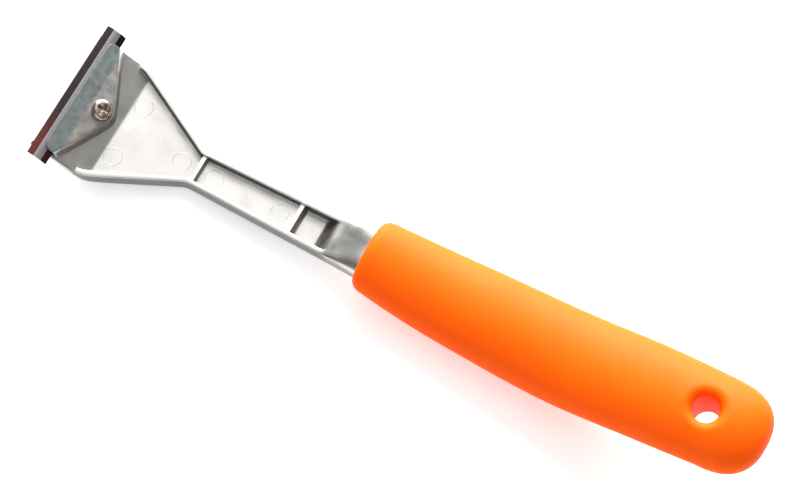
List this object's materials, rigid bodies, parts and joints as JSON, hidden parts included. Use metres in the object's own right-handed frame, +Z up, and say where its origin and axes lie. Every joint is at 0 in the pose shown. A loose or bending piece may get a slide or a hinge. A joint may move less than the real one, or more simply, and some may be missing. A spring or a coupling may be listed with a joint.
{
  "type": "hand scraper",
  "caption": "Pull-type hand scraper with a long arched handle, a die-cast channelled neck and a clamped, reversible strip blade, for lifting algae and scale off flat surfaces.",
  "frame": {"origin": "bottom centre of the tool's box as it lies working side up on the root of its neck and the belly of its handle", "axes": "+X from the blade along the tool to the end of the handle, +Y across the tool, +Z up"},
  "size_m": [0.2482, 0.05, 0.036],
  "materials": {
    "casting": "satin as-cast with bright faces",
    "grip": "smooth soft-touch moulding, orange",
    "blade_steel": "ground bevels, dark polished flat",
    "plate_steel": "plated pressed sheet",
    "screw_nickel": "nickel plated"
  },
  "bodies": {
    "frame": {"head_casting": "casting", "handle": "grip"},
    "blade": {"blade": "blade_steel"},
    "clamp_plate": {"clamp_plate": "plate_steel"},
    "clamp_screw": {"clamp_screw": "screw_nickel"}
  },
  "joints": [
    {"name": "clamp_lift", "type": "slide", "parent": "frame", "child": "clamp_plate", "axis": [0.4008, 0, 0.9162], "range_m": [0, 0.0025]},
    {"name": "screw_turn", "type": "hinge", "parent": "clamp_plate", "child": "clamp_screw", "pos_m": [-0.11044, 0, 0.01034], "axis": [0.4008, 0, 0.9162], "range_deg": [0, 1503]},
    {"name": "blade_slide", "type": "slide", "parent": "frame", "child": "blade", "axis": [-0.9162, 0, 0.4008], "range_m": [0, 0.008]}
  ],
  "couplings": [
    {"joint": "screw_turn", "follows": "clamp_lift", "rad_per_m": 10472}
  ]
}
